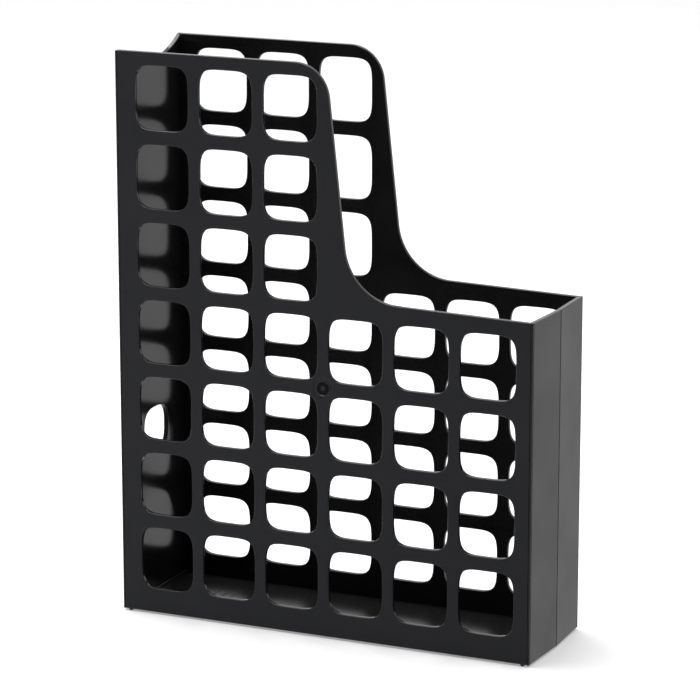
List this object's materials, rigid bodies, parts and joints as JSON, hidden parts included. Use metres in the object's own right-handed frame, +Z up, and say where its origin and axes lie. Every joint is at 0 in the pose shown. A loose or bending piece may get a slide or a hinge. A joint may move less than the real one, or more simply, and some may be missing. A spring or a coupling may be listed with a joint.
{
  "type": "magazine file holder",
  "caption": "Open upright file for magazines: tall spine, low split front, grille sides with square windows, and panels that fold flat.",
  "frame": {"origin": "on the ground, under the middle of the file's overall box", "axes": "+X from the tall spine to the low front end, +Y from the near side panel to the far one, +Z up"},
  "size_m": [0.2414, 0.073, 0.311],
  "materials": {
    "panel_plastic": "fine satin texture outside, smooth and glossy inside",
    "front_plastic": "fine satin texture",
    "floor_plastic": "smooth, glossy top face",
    "hinge_plastic": "smooth, slightly polished by bending"
  },
  "bodies": {
    "spine": {"spine_panel": "panel_plastic", "near_spine_hinge": "hinge_plastic", "far_spine_hinge": "hinge_plastic", "floor_hinge": "hinge_plastic"},
    "near_side": {"near_side_panel": "panel_plastic", "near_front_hinge": "hinge_plastic"},
    "far_side": {"far_side_panel": "panel_plastic", "far_front_hinge": "hinge_plastic"},
    "near_front": {"near_front_half": "front_plastic"},
    "far_front": {"far_front_half": "front_plastic"},
    "floor": {"floor_panel": "floor_plastic"}
  },
  "joints": [
    {"name": "near_side_fold", "type": "hinge", "parent": "spine", "child": "near_side", "pos_m": [-0.12, -0.0358, 0.156], "axis": [0, 0, -1], "range_deg": [0, 90]},
    {"name": "far_side_fold", "type": "hinge", "parent": "spine", "child": "far_side", "pos_m": [-0.12, 0.0358, 0.156], "axis": [0, 0, 1], "range_deg": [0, 90]},
    {"name": "near_front_fold", "type": "hinge", "parent": "near_side", "child": "near_front", "pos_m": [0.1186, -0.0353, 0.092], "axis": [0, 0, -1], "range_deg": [0, 87]},
    {"name": "far_front_fold", "type": "hinge", "parent": "far_side", "child": "far_front", "pos_m": [0.1186, 0.0353, 0.092], "axis": [0, 0, 1], "range_deg": [0, 87]},
    {"name": "floor_fold", "type": "hinge", "parent": "spine", "child": "floor", "pos_m": [-0.1171, 0, 0.0036], "axis": [0, -1, 0], "range_deg": [0, 88]}
  ]
}
